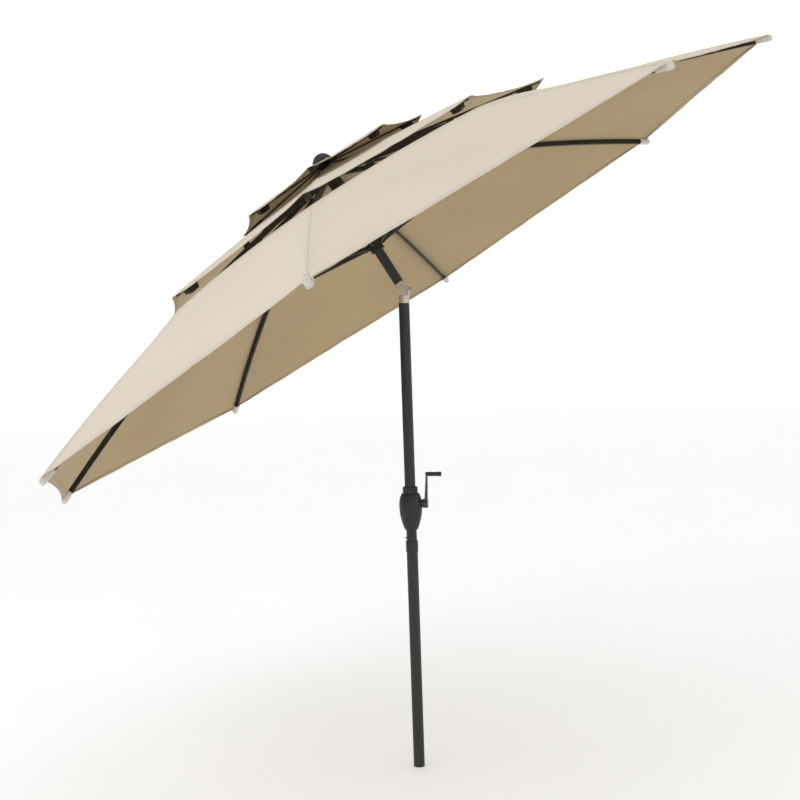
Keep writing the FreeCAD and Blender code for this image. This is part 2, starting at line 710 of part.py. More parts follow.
def main_canopy():
    top = RIB_H / 2 + FABRIC_GAP
    stations = []
    for reach in (OPENING_R, 920.0, 1070.0, 1220.0, MAIN_R - 9.0):
        stations.append(rib_point(rib_fraction_at(reach, top), top))
    stations.append((MAIN_R, MAIN_TIP_A - FABRIC))
    return skirt(stations)


def tier2_canopy():
    top = tier_line(TIER2_R, TIER2_TIP_A, TIER2_HUB_A, 40.0, 0.9)
    tip = tier_line(TIER2_R, TIER2_TIP_A, TIER2_HUB_A, TIER2_R, 0.9)
    return skirt([(19.0, 459.8), (29.0, 459.8), top, tip])


def tier3_canopy():
    top = tier_line(TIER3_R, TIER3_TIP_A, TIER3_HUB_A, 33.0, 0.9)
    tip = tier_line(TIER3_R, TIER3_TIP_A, TIER3_HUB_A, TIER3_R, 0.9)
    return skirt([(5.0, TIER3_HUB_A), (31.0, TIER3_HUB_A - 0.2), top, tip])


# ---------------------------------------------------------------- hoist cord
def world_from_head(point):
    return Placement(Vector(0, 0, KNUCKLE_Z), Rotation(Y, -TILT)).multVec(point)


def cord_points():
    """The taut cord's corners, from the spool to the runner, with the arc radius at each."""
    turn = Rotation(Z, PULLEY_AZ)
    lane = -8.0
    leave_r = (SPOOL_R + WINDING_R) / 2
    leg_r = PULLEY_GROOVE_R + CORD_R
    bend = Vector(lane, 0, KNUCKLE_Z + lane * math.tan(math.radians(TILT / 2)))
    inner_x, outer_x = PULLEY_X - leg_r, PULLEY_X + leg_r
    rim = PULLEY_A + leg_r
    upper = [
        (turn.multVec(Vector(inner_x, 0, 120.0)), 60.0),
        (turn.multVec(Vector(inner_x, 0, rim)), leg_r),
        (turn.multVec(Vector(outer_x, 0, rim)), leg_r),
        (turn.multVec(Vector(outer_x, 0, RUNNER_A + 4.3)), 0.0),
    ]
    route = [
        (Vector(0, leave_r, CRANK_Z), 0.0),
        (Vector(0, leave_r, HOUSING_TOP), 120.0),
        (Vector(lane, 0, KNUCKLE_Z - 90.0), 60.0),
        (bend, 25.0),
    ]
    return route + [(world_from_head(point), radius) for point, radius in upper]


def hoist_cord():
    """Taut cord: straight runs joined by tangent arcs."""
    route = cord_points()
    edges = []
    cursor = route[0][0]
    for (before, _), (corner, radius), (after, _) in zip(route, route[1:], route[2:]):
        back = (before - corner).normalize()
        ahead = (after - corner).normalize()
        half_turn = (math.pi - back.getAngle(ahead)) / 2
        reach = radius * math.tan(half_turn)
        bisector = (back + ahead).normalize()
        first, last = corner + back * reach, corner + ahead * reach
        crest = corner + bisector * (radius / math.cos(half_turn) - radius)
        if (first - cursor).Length > 0.01:
            edges.append(Part.LineSegment(cursor, first).toShape())
        edges.append(Part.Arc(first, crest, last).toShape())
        cursor = last
        print("cord radius", round(radius, 1), "turn", round(math.degrees(2 * half_turn), 1))
    edges.append(Part.LineSegment(cursor, route[-1][0]).toShape())
    path = Part.Wire(edges)
    start = route[0][0]
    section = Part.Wire(Part.makeCircle(CORD_R, start, (route[1][0] - start).normalize()))
    cord = path.makePipeShell([section], True, False)
    length = sum(edge.Length for edge in edges)
    print("cord length", round(length, 1), "volume ratio",
          round(cord.Volume / (math.pi * CORD_R ** 2 * length), 4))
    return cord


# ---------------------------------------------------------------- nodes
os.makedirs("parts", exist_ok=True)

export("lower_pole", lower_pole())
export("foot_plug", foot_plug())
export("stub_tube", stub_tube())
export("joint_bush", joint_bush())
export("snap_button", snap_button())
export("snap_spring", snap_spring())
export("mid_pole", mid_pole())

export("crank_housing_right", housing_half(1))
export("crank_housing_left", housing_half(-1))
export("housing_screws", *housing_screws())
export("crank_bush", crank_bush())
export("crank_shaft", crank_shaft())
export("cord_spool", spool())
export("crank_arm", crank_arm())
export("arm_screw", arm_screw())
export("grip_pin", grip_pin())
export("crank_grip", crank_grip())

export("knuckle_base", knuckle_base())
export("knuckle_screw", knuckle_screw())
export("pivot_pin", pivot_pin())
export("tilt_button", tilt_button())
export("tilt_spring", tilt_spring())
export("knuckle_tongue", head(knuckle_tongue()))

export("upper_pole", head(upper_pole()))
export("crown", head(crown()))
head_pins = hub_pins(CROWN_R, CROWN_A) + hub_pins(TIER3_HINGE_R, TIER3_HINGE_A)
export("head_hinge_pins", *[head(pin) for pin in head_pins])
export("runner", head(runner()))
export("runner_pins", *[head(pin) for pin in hub_pins(RUNNER_R, RUNNER_A)])
export("tier_hub", head(tier_hub()))
export("pulley", head(pulley()))
export("pulley_pin", head(pulley_pin()))
export("finial", head(finial()))
export("hoist_cord", hoist_cord(), cord_winding())

for k in range(RIBS):
    number = k + 1
    pieces = (rib(), rib_bracket(), tier2_arm())
    export("rib_%d" % number, *[head(spoke(piece, k)) for piece in pieces])
    export("strut_%d" % number, head(spoke(strut(), k)))
    export("tier3_arm_%d" % number, head(spoke(tier3_arm(), k)))

export("main_canopy", head(main_canopy()))
export("tier2_canopy", head(tier2_canopy()))
export("tier3_canopy", head(tier3_canopy()))
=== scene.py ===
import json
import math

import bpy
import numpy as np
from mathutils import Matrix, Vector


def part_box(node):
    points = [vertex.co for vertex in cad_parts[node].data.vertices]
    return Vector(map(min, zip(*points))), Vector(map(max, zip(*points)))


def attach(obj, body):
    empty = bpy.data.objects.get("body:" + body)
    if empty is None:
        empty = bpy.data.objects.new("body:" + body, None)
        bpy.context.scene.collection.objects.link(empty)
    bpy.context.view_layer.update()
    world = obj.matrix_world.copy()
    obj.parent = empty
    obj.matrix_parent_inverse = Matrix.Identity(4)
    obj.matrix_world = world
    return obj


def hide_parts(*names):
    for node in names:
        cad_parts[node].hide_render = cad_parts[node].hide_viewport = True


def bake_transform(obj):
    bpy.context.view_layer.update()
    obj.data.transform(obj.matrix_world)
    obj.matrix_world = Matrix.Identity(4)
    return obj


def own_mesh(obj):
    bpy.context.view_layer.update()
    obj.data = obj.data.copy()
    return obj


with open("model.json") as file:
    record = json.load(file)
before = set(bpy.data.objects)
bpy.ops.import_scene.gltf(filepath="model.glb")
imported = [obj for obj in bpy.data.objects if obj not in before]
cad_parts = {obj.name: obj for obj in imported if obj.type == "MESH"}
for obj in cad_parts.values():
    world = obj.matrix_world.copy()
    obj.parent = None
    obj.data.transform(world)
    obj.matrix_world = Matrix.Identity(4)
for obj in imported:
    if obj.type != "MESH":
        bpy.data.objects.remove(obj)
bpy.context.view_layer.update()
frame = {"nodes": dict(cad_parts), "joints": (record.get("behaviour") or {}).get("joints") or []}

# Three-tier market umbrella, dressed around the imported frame. Metres and radians.
# Canopy frame: origin on the tilt pivot, height along the canopy's axis, rib 0 towards FRONT.

RIBS = 8
STEP = 2 * math.pi / RIBS
JOINTS = {joint["name"]: joint for joint in frame["joints"]}
PIVOT = Vector(JOINTS["tilt"]["pos_m"])
AXIS = Vector(JOINTS["runner_slide"]["axis"]).normalized()
SIDE = Vector((0, 1, 0))
FRONT = SIDE.cross(AXIS).normalized()
ON_RIB = 1e-3               # canopy points this near to a rib's middle plane lie on it
NUDGE = 1e-3                # share of a gore between the points that give its slope

# ---- fabric ----
CLOTH = 0.0012              # thickness of the woven sheet
HEM_WIDTH = 0.020
HEM_PROUD = 0.0007          # a folded hem stands this far off the sheet
SEAM_WIDTH = 0.008
STITCH_PITCH = 0.0055
STITCH_LENGTH = 0.0032
STITCH_R = 0.00042
HEM_ROWS = (0.12, 0.88)     # two rows of stitches, as shares of the hem's width
SEAM_ROW = 0.38             # each seam stitch row lies this share of the width from the middle
TAB_HALF = 0.018            # half width of the tongue of cloth over a rib's end
RIDGE_HALF = 0.03           # the sheet falls away from the rib within this distance
RIDGE_DROP = 0.0035
HEM_POWER = 0.65            # below 1, the hem's hollow is flatter in the middle of the panel
RISE_SHARE = 0.3            # the inner hem's rise fades over this share of the gore
WRINKLE = 0.0007
GORE_ROWS = 30
GORE_SHARES = (0.0, 0.008, 0.02, 0.04, 0.07, 0.11, 0.16, 0.23, 0.31, 0.4, 0.5, 0.6, 0.7, 0.8, 0.9, 1.0)
HEM_SAMPLES = 72
STITCH_SAMPLES = 200
SEAM_SAMPLES = 40

# ---- rib pockets ----
POCKET_LENGTH = 0.052
POCKET_WIDE = 0.0205
POCKET_DEEP = 0.0212
POCKET_WALL = 0.0012
POCKET_END = 1.376          # reach of the pocket's closed end
POCKET_LIFT = 0.0008
POCKET_MOUTH = 0.12         # the mouth flares over this share of the length
POCKET_FLARE = 0.08
POCKET_ROUND = 0.74         # the end starts to round off at this share
POCKET_POWER = 2.4
POCKET_SIDES = 24
POCKET_STATIONS = (0.0, 0.12, 0.3, 0.5, 0.66, 0.78, 0.86, 0.92, 0.96, 1.0)


# ---------------------------------------------------------------- canopy frame
def place(x, y, height):
    """World point of a point in the canopy frame."""
    return PIVOT + FRONT * x + SIDE * y + AXIS * height


def to_canopy(points):
    """World points (n, 3) as canopy-frame points."""
    offset = np.asarray(points, float) - np.array(PIVOT)
    return np.stack([offset @ np.array(axis) for axis in (FRONT, SIDE, AXIS)], axis=1)


def rib_direction(index):
    angle = index * STEP
    return FRONT * math.cos(angle) + SIDE * math.sin(angle)


def tangent(index):
    angle = index * STEP
    return SIDE * math.cos(angle) - FRONT * math.sin(angle)


def rib_line(node):
    """Height of a CAD canopy's outer skin over rib 0, as a function of the reach."""
    skin = to_canopy([vertex.co for vertex in frame["nodes"][node].data.vertices])
    skin = skin[(np.abs(skin[:, 1]) < ON_RIB) & (skin[:, 0] > 0)]
    stations = sorted(set(np.round(skin[:, 0], 3)))
    heights = [skin[np.abs(skin[:, 0] - reach) < ON_RIB, 2].max() for reach in stations]
    if len(stations) > 4:
        cubic = np.polyfit(stations, heights, 3)
        return lambda reach: float(np.polyval(cubic, reach))
    return lambda reach: float(np.interp(reach, stations, heights))


# ---------------------------------------------------------------- shader helpers
def new_material(name):
    material = bpy.data.materials.new(name)
    material.use_nodes = True
    tree = material.node_tree
    return material, tree.nodes, tree.links, tree.nodes["Principled BSDF"]


def ramp(nodes, links, value, stops):
    """Colour that runs through (position, colour) stops as the value rises."""
    node = nodes.new("ShaderNodeValToRGB")
    while len(node.color_ramp.elements) < len(stops):
        node.color_ramp.elements.new(0.5)
    for element, (position, colour) in zip(node.color_ramp.elements, stops):
        element.position = position
        element.color = (*colour, 1)
    links.new(value, node.inputs["Fac"])
    return node.outputs["Color"]


def spread(nodes, links, value, low, high, top=1.0):
    """A value from 0 to top, as one from low to high."""
    node = nodes.new("ShaderNodeMapRange")
    node.inputs["From Max"].default_value = top
    node.inputs["To Min"].default_value = low
    node.inputs["To Max"].default_value = high
    links.new(value, node.inputs["Value"])
    return node.outputs["Result"]


def noise(nodes, links, source, scale, detail=3.0, rough=0.5, stretch=(1, 1, 1)):
    mapping = nodes.new("ShaderNodeMapping")
    mapping.inputs["Scale"].default_value = stretch
    links.new(source, mapping.inputs["Vector"])
    node = nodes.new("ShaderNodeTexNoise")
    node.inputs["Scale"].default_value = scale
    node.inputs["Detail"].default_value = detail
    node.inputs["Roughness"].default_value = rough
    links.new(mapping.outputs["Vector"], node.inputs["Vector"])
    return node.outputs["Fac"]


def wave(nodes, links, source, direction, scale, distortion, detail=2.0):
    node = nodes.new("ShaderNodeTexWave")
    node.bands_direction = direction
    node.inputs["Scale"].default_value = scale
    node.inputs["Distortion"].default_value = distortion
    node.inputs["Detail"].default_value = detail
    links.new(source, node.inputs["Vector"])
    return node.outputs["Fac"]


def bump(nodes, links, height, shader, strength, distance):
    node = nodes.new("ShaderNodeBump")
    node.inputs["Strength"].default_value = strength
    node.inputs["Distance"].default_value = distance
    links.new(height, node.inputs["Height"])
    links.new(node.outputs["Normal"], shader.inputs["Normal"])


def maths(nodes, links, operation, first, second):
    node = nodes.new("ShaderNodeMath")
    node.operation = operation
    for socket, value in zip(node.inputs, (first, second)):
        if isinstance(value, (int, float)):
            socket.default_value = value
        else:
            links.new(value, socket)
    return node.outputs[0]


# ---------------------------------------------------------------- materials
def coated(name, dark, light, roughness, grain_scale, grain_depth, metallic=0.0, coat=0.0):
    """Painted, moulded or cast surface: broad tone drift, fine grain, uneven gloss."""
    material, nodes, links, shader = new_material(name)
    source = nodes.new("ShaderNodeTexCoord").outputs["Object"]
    drift = noise(nodes, links, source, 9.0, 4.0, 0.6)
    links.new(ramp(nodes, links, drift, [(0.3, dark), (0.72, light)]), shader.inputs["Base Color"])
    patches = noise(nodes, links, source, 38.0, 5.0, 0.65)
    links.new(spread(nodes, links, patches, *roughness), shader.inputs["Roughness"])
    grain = noise(nodes, links, source, grain_scale, 2.0, 0.5)
    bump(nodes, links, grain, shader, 0.35, grain_depth)
    shader.inputs["Metallic"].default_value = metallic
    shader.inputs["Coat Weight"].default_value = coat
    shader.inputs["Coat Roughness"].default_value = 0.25
    shader.inputs["Specular IOR Level"].default_value = 0.35
    return material


def woven(name, thread, shade, stain, scale=1250.0, glow=0.0, through_tint=(1, 1, 1)):
    """Plain-weave polyester: two crossed thread waves, slub, faint handling marks, and painted shade
    between the threads.
    """
    material, nodes, links, shader = new_material(name)
    source = nodes.new("ShaderNodeTexCoord")
    threads = [wave(nodes, links, source.outputs["UV"], direction, scale / (2 * math.pi), 0.15, 1.0)
               for direction in ("X", "Y")]
    weave = maths(nodes, links, "MULTIPLY", *threads)
    slub = noise(nodes, links, source.outputs["UV"], 60.0, 5.0, 0.7, (1.0, 9.0, 1.0))
    broad = noise(nodes, links, source.outputs["Object"], 2.6, 4.0, 0.55)
    mixed = maths(nodes, links, "ADD", maths(nodes, links, "MULTIPLY", slub, 0.35), broad)
    tone = ramp(nodes, links, mixed, [(0.42, stain), (0.66, shade), (0.9, thread)])
    # Where the crossed threads sink, the base colour takes a deeper tone: painted shade.
    gaps = maths(nodes, links, "SUBTRACT", 1.0, weave)
    gap_shade_mix = nodes.new("ShaderNodeMix")
    gap_shade_mix.data_type = "RGBA"
    gap_shade_mix.blend_type = "MULTIPLY"
    gap_shade_mix.inputs["B"].default_value = (0.55, 0.5, 0.42, 1)
    links.new(maths(nodes, links, "MULTIPLY", gaps, 0.12), gap_shade_mix.inputs["Factor"])
    links.new(tone, gap_shade_mix.inputs["A"])
    links.new(gap_shade_mix.outputs["Result"], shader.inputs["Base Color"])
    shader.inputs["Roughness"].default_value = 0.86
    shader.inputs["Sheen Weight"].default_value = 0.1
    shader.inputs["Sheen Roughness"].default_value = 0.45
    shader.inputs["Specular IOR Level"].default_value = 0.25
    bump(nodes, links, weave, shader, 0.25, 0.0003)
    if glow:
        through = nodes.new("ShaderNodeBsdfTranslucent")
        through.inputs["Color"].default_value = (*through_tint, 1)
        blend = nodes.new("ShaderNodeMixShader")
        blend.inputs["Fac"].default_value = glow
        links.new(shader.outputs["BSDF"], blend.inputs[1])
        links.new(through.outputs["BSDF"], blend.inputs[2])
        links.new(blend.outputs["Shader"], nodes["Material Output"].inputs["Surface"])
    return material


def brushed(name, colour, roughness):
    """Plated steel with faint lengthwise scratches."""
    material, nodes, links, shader = new_material(name)
    source = nodes.new("ShaderNodeTexCoord").outputs["Object"]
    streak = noise(nodes, links, source, 90.0, 4.0, 0.7, (1.0, 1.0, 12.0))
    dull = tuple(channel * 0.7 for channel in colour)
    links.new(ramp(nodes, links, streak, [(0.3, dull), (0.7, colour)]), shader.inputs["Base Color"])
    shader.inputs["Metallic"].default_value = 1.0
    uneven = spread(nodes, links, streak, roughness - 0.08, roughness + 0.12)
    links.new(uneven, shader.inputs["Roughness"])
    bump(nodes, links, streak, shader, 0.15, 0.0002)
    return material


def braided(name, colour):
    """Cord or thread: strands from slanting waves, with painted shade in the hollows between them."""
    material, nodes, links, shader = new_material(name)
    source = nodes.new("ShaderNodeTexCoord").outputs["Object"]
    strands = wave(nodes, links, source, "DIAGONAL", 160.0, 0.6)
    # The hollows between strands are coloured at half strength: painted shade.
    hollow = tuple(channel * 0.5 for channel in colour)
    links.new(ramp(nodes, links, strands, [(0.2, hollow), (0.8, colour)]), shader.inputs["Base Color"])
    shader.inputs["Roughness"].default_value = 0.8
    bump(nodes, links, strands, shader, 0.5, 0.0004)
    return material


# The finish of each of the record's material slots.
MATERIALS = {
    "pole_paint": coated("pole_powder_coat", (0.019, 0.019, 0.0195), (0.026, 0.026, 0.0265),
                         (0.42, 0.54), 900.0, 0.00035),
    "frame_paint": coated("frame_powder_coat", (0.013, 0.010, 0.007), (0.021, 0.017, 0.012),
                          (0.5, 0.62), 800.0, 0.0004),
    "black_plastic": coated("moulded_plastic", (0.016, 0.016, 0.0165), (0.023, 0.023, 0.0235),
                            (0.42, 0.54), 520.0, 0.0005),
    "crank_metal": coated("crank_enamel", (0.028, 0.028, 0.029), (0.042, 0.042, 0.043),
                          (0.3, 0.42), 700.0, 0.0003, coat=0.2),
    "knuckle_silver": coated("die_cast_zinc", (0.42, 0.36, 0.32), (0.66, 0.58, 0.54),
                             (0.3, 0.48), 420.0, 0.0006, metallic=0.85),
    "button_plastic": coated("button_plastic", (0.03, 0.03, 0.031), (0.05, 0.05, 0.052),
                             (0.3, 0.4), 600.0, 0.0003),
    "steel": brushed("plated_steel", (0.56, 0.56, 0.55), 0.32),
    "cord": braided("braided_cord", (0.08, 0.08, 0.08)),
    "canopy_cloth": woven("canopy_polyester", (0.70, 0.63, 0.52), (0.67, 0.60, 0.49),
                          (0.64, 0.57, 0.46)),
}
OUTER = woven("cream_polyester", (0.90, 0.825, 0.705), (0.88, 0.805, 0.685), (0.84, 0.765, 0.645),
              glow=0.25, through_tint=(1.0, 0.95, 0.86))
# Underside faces of the same cream cloth, given a deep khaki base colour: painted shade. The warm
# translucent glow is real light through the cloth.
UNDERSIDE_SHADE_CLOTH = woven("underside_painted_shade", (0.39, 0.315, 0.19), (0.365, 0.29, 0.17), (0.33, 0.26, 0.15),
               glow=0.3, through_tint=(1.0, 0.86, 0.60))
# Hem tape folded under the edges, in the same deep khaki as the underside: painted shade.
HEM_TAPE_SHADE = woven("hem_tape_painted_shade", (0.40, 0.32, 0.195), (0.38, 0.30, 0.18), (0.35, 0.275, 0.165), 900.0)
POCKET = woven("pale_webbing", (0.68, 0.65, 0.59), (0.62, 0.59, 0.53), (0.52, 0.49, 0.43), 1500.0)
THREAD = braided("sewing_thread", (0.60, 0.53, 0.42))


def dress_frame():
    """Every CAD node takes the procedural finish of the slot it was packed with."""
    for node in frame["nodes"].values():
        for slot in node.material_slots:
            slot.material = MATERIALS.get(slot.material.name.split(".")[0], slot.material)


# ---------------------------------------------------------------- mesh helpers
def add_object(name, vertices, faces, materials, kinds=None, uvs=None, smooth=True):
    """New mesh object; kinds are the material numbers of its faces."""
    mesh = bpy.data.meshes.new(name)
    mesh.from_pydata([tuple(vertex) for vertex in vertices], [], faces)
    for material in materials:
        mesh.materials.append(material)
    if kinds is not None:
        mesh.polygons.foreach_set("material_index", kinds)
    if uvs is not None:
        layer = mesh.uv_layers.new(name="UVMap")
        layer.data.foreach_set("uv", [part for loop in mesh.loops for part in uvs[loop.vertex_index]])
    mesh.polygons.foreach_set("use_smooth", [smooth] * len(mesh.polygons))
    mesh.update()
    thing = bpy.data.objects.new(name, mesh)
    bpy.context.scene.collection.objects.link(thing)
    return thing


def part_of(mesh, chosen):
    """The chosen vertices of a mesh, and the faces that have all their corners among them."""
    number = {int(old): new for new, old in enumerate(np.flatnonzero(chosen))}
    vertices = [mesh.vertices[old].co.copy() for old in number]
    faces = [tuple(number[corner] for corner in face.vertices) for face in mesh.polygons
             if all(corner in number for corner in face.vertices)]
    return vertices, faces


class Patchwork:
    """Collects small closed pieces of trim into one mesh."""

    def __init__(self):
        self.vertices, self.faces, self.kinds, self.uvs = [], [], [], []

    def add(self, vertices, faces, kind, uvs=None):
        first = len(self.vertices)
        self.vertices += vertices
        self.faces += [tuple(first + corner for corner in face) for face in faces]
        self.kinds += [kind] * len(faces)
        self.uvs += uvs if uvs is not None else [(0.0, 0.0)] * len(vertices)

    def ribbon(self, centres, acrosses, normals, width, thickness, kind):
        """Flat closed tape along a line, with its edges drawn in on the outer side."""
        vertices, uvs, length = [], [], 0.0
        for i, (centre, across, normal) in enumerate(zip(centres, acrosses, normals)):
            if i:
                length += (centre - centres[i - 1]).length
            half, lift = across * width / 2, normal * thickness / 2
            inset = across * thickness * 0.6
            vertices += [centre - half - lift, centre + half - lift]
            vertices += [centre + half - inset + lift, centre - half + inset + lift]
            uvs += [(length, 0.0), (length, width), (length, width), (length, 0.0)]
        last = 4 * (len(centres) - 1)
        faces = [(a + j, a + (j + 1) % 4, a + 4 + (j + 1) % 4, a + 4 + j)
                 for a in range(0, last, 4) for j in range(4)]
        faces += [(3, 2, 1, 0), (last, last + 1, last + 2, last + 3)]
        self.add(vertices, faces, kind, uvs)

    def stitch(self, start, end, normal, radius, kind):
        """One raised stitch: a four-sided lozenge along the line."""
        across = (end - start).normalized().cross(normal).normalized()
        middle = (start + end) / 2
        ring = [middle + across * radius, middle + normal * radius * 1.2,
                middle - across * radius, middle - normal * radius]
        faces = [(0, 2, 1), (0, 3, 2), (0, 4, 3), (0, 1, 4), (5, 1, 2), (5, 2, 3), (5, 3, 4), (5, 4, 1)]
        self.add([start, *ring, end], faces, kind)

    def build(self, name, materials):
        return add_object(name, self.vertices, self.faces, materials, self.kinds, self.uvs, smooth=False)


# ---------------------------------------------------------------- tiers
class Tier:
    """One tier of the canopy: where its sheet lies between two neighbouring ribs."""

    def __init__(self, name, node, inner, corner, blunt, sag, hem_curve, inner_curve, rise=0.0, tab=0.0):
        self.name = name
        self.node = node
        self.inner = inner              # radius of the inner hem on the ribs
        self.corner = corner            # radius where the outer hems would meet
        self.blunt = blunt              # the corner is cut at this radius
        self.sag = sag                  # droop of the mid-panel at the (inner, outer) edge
        self.hem_curve = hem_curve      # hollow of the outer hem between ribs
        self.inner_curve = inner_curve  # bulge of the inner hem between ribs
        self.rise = rise                # how far the loose inner hem stands off the ribs
        self.tab = tab                  # tongue of cloth that runs on over the rib's end
        self.height = rib_line(node)

    def point(self, index, across, along):
        """Sheet point: across from -1 (previous mid-panel) to 1 (next), along from 0 (inner hem) to 1."""
        share = abs(across) / 2
        arch = 4 * share * (1 - share)
        inner = self.inner + self.inner_curve * arch
        outer = self.corner - self.hem_curve * arch ** HEM_POWER
        reach = inner + (outer - inner) * along
        x = reach * (1 - share * (1 - math.cos(STEP)))
        y = reach * math.copysign(share, across) * math.sin(STEP)
        limit = self.blunt + self.tab * math.exp(-(y / TAB_HALF) ** 2)
        x = min(x, limit)
        drop = (self.sag[0] + (self.sag[1] - self.sag[0]) * along) * arch
        drop -= self.rise * max(0.0, 1 - along / RISE_SHARE) ** 2
        drop += RIDGE_DROP * (1.0 - math.exp(-(y / RIDGE_HALF) ** 2)) * along
        angle = index * STEP
        drop += self.wrinkle(angle + math.atan2(y, max(x, 1e-6)), reach, arch, along)
        height = self.height(min(reach, limit)) - drop
        turned_x = x * math.cos(angle) - y * math.sin(angle)
        turned_y = x * math.sin(angle) + y * math.cos(angle)
        return place(turned_x, turned_y, height)

    def wrinkle(self, azimuth, reach, arch, along):
        """Shallow tension folds that fan out towards the hem and fade at the ribs."""
        seed = sum(ord(letter) for letter in self.name)
        fan = math.sin(azimuth * 41 + seed) * 0.5
        fan += math.sin(azimuth * 67 + 1.7 * seed + reach * 9) * 0.35
        return WRINKLE * fan * arch * (0.35 + along ** 2)

    def normal(self, index, across, along):
        """Outward normal of the sheet, from points a little to each side."""
        right = self.point(index, min(1, across + NUDGE), along)
        left = self.point(index, max(-1, across - NUDGE), along)
        outer = self.point(index, across, min(1, along + NUDGE))
        inner = self.point(index, across, max(0, along - NUDGE))
        normal = (right - left).cross(outer - inner)
        normal.normalize()
        return normal if normal.dot(AXIS) > 0 else -normal


def row_shares(count, pull):
    """Values from 0 to 1, drawn together at both ends."""
    return [i / count - pull * math.sin(2 * math.pi * i / count) / (2 * math.pi) for i in range(count + 1)]


def gore(tier, index):
    """One gore of a tier, centred on its rib: a closed sheet with square-cut edges."""
    acrosses = [-share for share in reversed(GORE_SHARES[1:])] + list(GORE_SHARES)
    alongs = row_shares(GORE_ROWS, 0.55)
    top = [tier.point(index, across, along) for along in alongs for across in acrosses]
    bottom = [point - AXIS * CLOTH for point in top]
    angle = index * STEP
    sine, cosine = math.sin(angle), math.cos(angle)
    uvs = [(float(y * cosine - x * sine), float(x * cosine + y * sine)) for x, y, _ in to_canopy(top)]
    rows, columns, count = len(alongs), len(acrosses), len(top)
    faces, kinds = [], []
    for row in range(rows - 1):
        for column in range(columns - 1):
            a = row * columns + column
            b, c, d = a + 1, a + columns + 1, a + columns
            faces += [(a, d, c, b), (count + a, count + b, count + c, count + d)]
            kinds += [0, 1]
    rim = list(range(columns))
    rim += [row * columns + columns - 1 for row in range(1, rows)]
    rim += [(rows - 1) * columns + column for column in reversed(range(columns - 1))]
    rim += [row * columns for row in reversed(range(1, rows - 1))]
    sharp = set()
    for a, b in zip(rim, rim[1:] + rim[:1]):
        faces.append((a, b, count + b, count + a))
        kinds.append(0)
        sharp |= {frozenset((a, b)), frozenset((count + a, count + b))}
    name = "%s_gore_%d" % (tier.name, index + 1)
    # Top faces take the cream cloth; underside faces take the painted-shade khaki.
    piece = add_object(name, top + bottom, faces, [OUTER, UNDERSIDE_SHADE_CLOTH], kinds, uvs + uvs)
    attribute = piece.data.attributes.new("sharp_edge", "BOOLEAN", "EDGE")
    attribute.data.foreach_set("value", [frozenset(edge.vertices) in sharp for edge in piece.data.edges])
    return piece


# ---------------------------------------------------------------- trim
def on_sheet(tier, index, samples):
    """(point, normal) pairs on the sheet's outer face."""
    return [(tier.point(index, *sample), tier.normal(index, *sample)) for sample in samples]


def stitch_row(work, tier, index, samples, outside_only=False):
    """Even stitches along a line on the sheet, on its outer and inner face."""
    points = on_sheet(tier, index, samples)
    lift = HEM_PROUD if outside_only else 0.0
    under = CLOTH + HEM_PROUD
    at = 0.0
    for (first, normal), (second, _) in zip(points, points[1:]):
        length = (second - first).length
        if length < 1e-6:
            continue
        direction = (second - first) / length
        while at < length:
            start = first + direction * at
            end = start + direction * STITCH_LENGTH
            work.stitch(start + normal * lift, end + normal * lift, normal, STITCH_R, 1)
            if not outside_only:
                work.stitch(start - normal * under, end - normal * under, -normal, STITCH_R, 1)
            at += STITCH_PITCH
        at -= length


def hem(work, tier, index, edge, inward):
    """Tape folded under one edge of the gore, and its two rows of stitches; the tape's deep khaki is
    painted shade.
    """
    hem_share = HEM_WIDTH / (tier.corner - tier.inner)
    middle = edge + inward * hem_share / 2
    shares = [-1 + 2 * i / HEM_SAMPLES for i in range(HEM_SAMPLES + 1)]
    centres = on_sheet(tier, index, [(across, middle) for across in shares])
    hang = -CLOTH - HEM_PROUD / 2
    line = [point + normal * hang for point, normal in centres]
    outs = [(tier.point(index, across, edge) - tier.point(index, across, middle)).normalized()
            for across in shares]
    work.ribbon(line, outs, [-normal for _, normal in centres], HEM_WIDTH, HEM_PROUD, 0)
    for row in HEM_ROWS:
        along = edge + inward * hem_share * row
        samples = [(-1 + 2 * i / STITCH_SAMPLES, along) for i in range(STITCH_SAMPLES + 1)]
        stitch_row(work, tier, index, samples)


def seam(work, tier, index):
    """Flat seam over the rib with a row of stitches near each edge."""
    reach = tier.corner - tier.inner
    hem_share = HEM_WIDTH / reach
    line = [(0.0, hem_share + (1 - 2 * hem_share) * i / SEAM_SAMPLES) for i in range(SEAM_SAMPLES + 1)]
    centres = [(point + normal * (HEM_PROUD / 2), normal) for point, normal in on_sheet(tier, index, line)]
    work.ribbon([point for point, _ in centres], [tangent(index)] * len(centres),
                [normal for _, normal in centres], SEAM_WIDTH, HEM_PROUD, 2)
    for side in (-1, 1):
        samples = []
        for _, along in line:
            radius = tier.inner + reach * along
            samples.append((2 * side * SEAM_WIDTH * SEAM_ROW / (radius * math.sin(STEP)), along))
        stitch_row(work, tier, index, samples, outside_only=True)


def trim(tier, index, inner_hem):
    """Hems, the seam over the rib and their stitching, for one gore."""
    work = Patchwork()
    hem(work, tier, index, 1.0, -1)
    if inner_hem:
        hem(work, tier, index, 0.0, 1)
    seam(work, tier, index)
    # The hem tape's colour is painted shade.
    return work.build("%s_trim_%d" % (tier.name, index + 1), [HEM_TAPE_SHADE, THREAD, OUTER])


def sew(tier, body, inner_hem=False):
    """The gores of a tier: each rides on the arm under it."""
    for index in range(RIBS):
        piece = gore(tier, index)
        edging = trim(tier, index, inner_hem)
        for part in (piece, edging):
            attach(part, body % (index + 1))
            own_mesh(part)
        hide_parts(tier.node)


# ---------------------------------------------------------------- rib pockets
def signed_root(value):
    """Square root that keeps the sign; it turns a circle into a rounded square."""
    return math.copysign(abs(value) ** 0.5, value)


